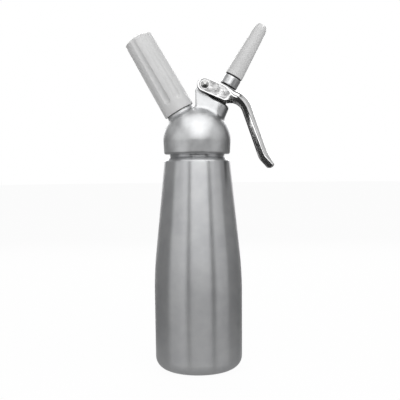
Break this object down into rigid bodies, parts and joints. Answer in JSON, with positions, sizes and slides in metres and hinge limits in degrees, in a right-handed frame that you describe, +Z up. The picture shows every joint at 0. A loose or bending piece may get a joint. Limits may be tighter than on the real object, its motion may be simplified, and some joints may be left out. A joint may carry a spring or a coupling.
{
  "type": "whipped cream dispenser",
  "caption": "Hand-held cream dispenser: tapered bottle, screw-on domed head, leaning charger holder, squeeze lever on a pin, spring valve and star tip.",
  "frame": {"origin": "centre of the foot's flat face", "axes": "+Z up along the bottle's axis, +X towards the lever and the nozzle, Y across the lever"},
  "size_m": [0.1457, 0.0876, 0.3422],
  "materials": {
    "brushed_aluminium": "brushed satin",
    "satin_aluminium": "fine satin casting",
    "polished_metal": "polished",
    "stainless_steel": "machined",
    "nickel_brass": "machined",
    "black_rubber": "matt",
    "silicone_seal": "matt",
    "white_plastic": "moulded satin",
    "grey_plastic": "moulded"
  },
  "bodies": {
    "bottle_body": {"bottle": "brushed_aluminium"},
    "gasket_body": {"head_gasket": "silicone_seal"},
    "head_body": {"head_casting": "satin_aluminium", "charger_port": "nickel_brass", "piercing_pin": "stainless_steel", "charger_seal": "silicone_seal", "non_return_sleeve": "silicone_seal", "non_return_screw": "nickel_brass", "stem_o_ring": "black_rubber", "valve_bush": "grey_plastic", "valve_spring": "stainless_steel", "lever_pin": "stainless_steel", "pin_clip": "stainless_steel"},
    "charger_body": {"gas_charger": "stainless_steel"},
    "holder_body": {"charger_holder": "white_plastic"},
    "lever_body": {"lever": "polished_metal"},
    "stem_body": {"valve_stem": "stainless_steel", "valve_disc": "silicone_seal", "backing_washer": "stainless_steel", "stem_end_nut": "stainless_steel", "stem_flange_nut": "stainless_steel", "tip_adaptor": "satin_aluminium", "collar_ring": "black_rubber"},
    "tip_ring_body": {"tip_o_ring": "black_rubber"},
    "tip_body": {"decorator_tip": "white_plastic"}
  },
  "joints": [
    {"name": "head_rise", "type": "slide", "parent": "bottle_body", "child": "gasket_body", "axis": [0, 0, 1], "range_m": [0, 0.01201]},
    {"name": "head_unscrew", "type": "hinge", "parent": "gasket_body", "child": "head_body", "pos_m": [0, 0, 0.222], "axis": [0, 0, 1], "range_deg": [0, 1440]},
    {"name": "charger_rise", "type": "slide", "parent": "head_body", "child": "charger_body", "axis": [-0.4924, 0, 0.8704], "range_m": [0, 0.01251]},
    {"name": "charger_unscrew", "type": "hinge", "parent": "charger_body", "child": "holder_body", "pos_m": [0, 0, 0.226], "axis": [-0.4924, 0, 0.8704], "range_deg": [0, 1800]},
    {"name": "lever_squeeze", "type": "hinge", "parent": "head_body", "child": "lever_body", "pos_m": [0.0082, 0, 0.2812], "axis": [0, 1, 0], "range_deg": [0, 10], "stiffness_Nm_per_rad": 1.26, "springref_deg": -11.46},
    {"name": "stem_press", "type": "slide", "parent": "head_body", "child": "stem_body", "axis": [-0.5, 0, -0.866], "range_m": [0, 0.0037], "deforming": ["valve_spring"]},
    {"name": "tip_rise", "type": "slide", "parent": "stem_body", "child": "tip_ring_body", "axis": [0.5, 0, 0.866], "range_m": [0, 0.00601]},
    {"name": "tip_unscrew", "type": "hinge", "parent": "tip_ring_body", "child": "tip_body", "pos_m": [0, 0, 0.226], "axis": [0.5, 0, 0.866], "range_deg": [0, 1080]}
  ],
  "couplings": [
    {"joint": "head_rise", "follows": "head_unscrew", "m_per_rad": 0.00047746},
    {"joint": "charger_rise", "follows": "charger_unscrew", "m_per_rad": 0.00039789},
    {"joint": "stem_press", "follows": "lever_squeeze", "m_per_rad": 0.0211},
    {"joint": "tip_rise", "follows": "tip_unscrew", "m_per_rad": 0.00031831}
  ]
}
